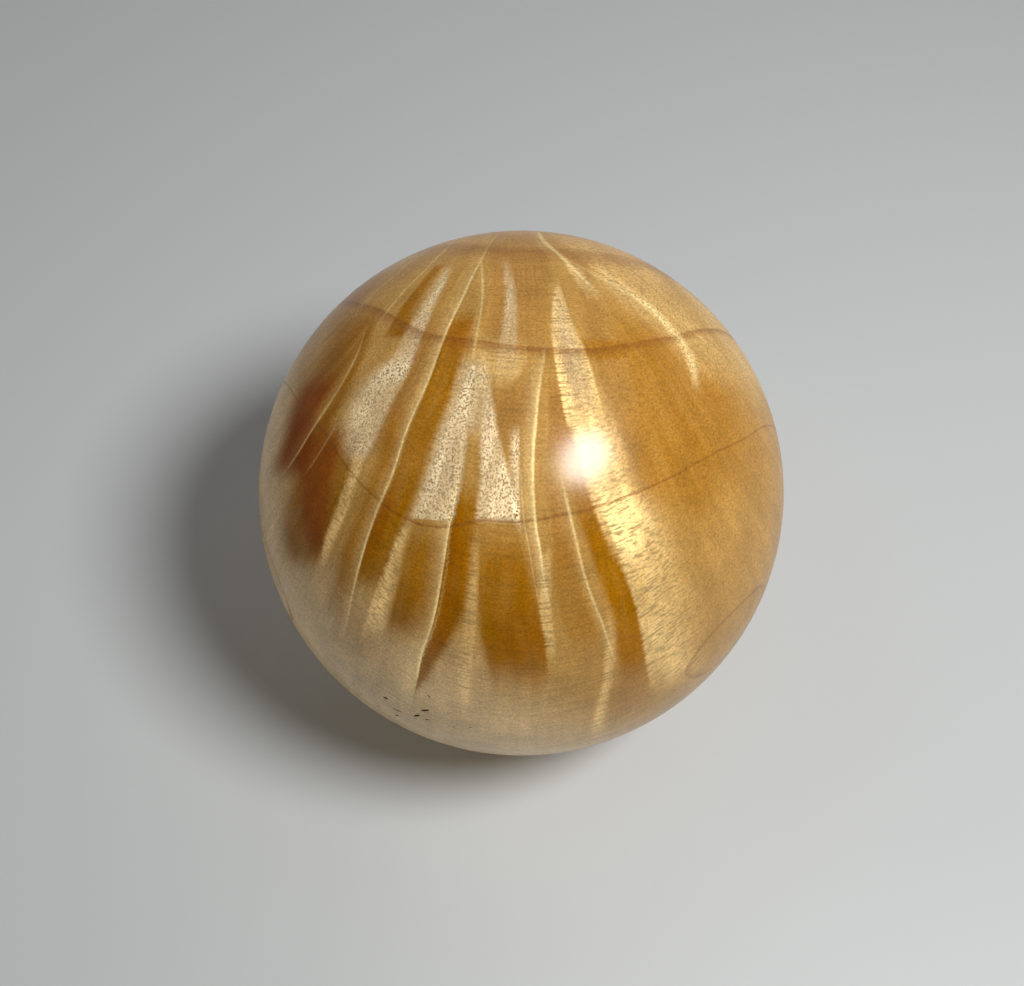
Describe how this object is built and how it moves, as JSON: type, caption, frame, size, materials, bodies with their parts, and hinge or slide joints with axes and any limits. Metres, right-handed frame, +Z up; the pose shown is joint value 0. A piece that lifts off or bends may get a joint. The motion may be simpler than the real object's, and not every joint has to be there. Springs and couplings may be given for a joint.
{
  "type": "wooden ball",
  "caption": "Solid turned ball of strongly figured pale hardwood under a clear gloss lacquer, with small open flecks low on its front.",
  "frame": {"origin": "centre of the ball", "axes": "+Z up, -Y towards the side that shows the figure and the flecks, +X along the grain at the top of that side"},
  "size_m": [0.08, 0.08, 0.08],
  "materials": {
    "lacquered_wood": "clear gloss lacquer over figured wood"
  },
  "bodies": {
    "root": {"ball": "lacquered_wood"}
  },
  "joints": []
}
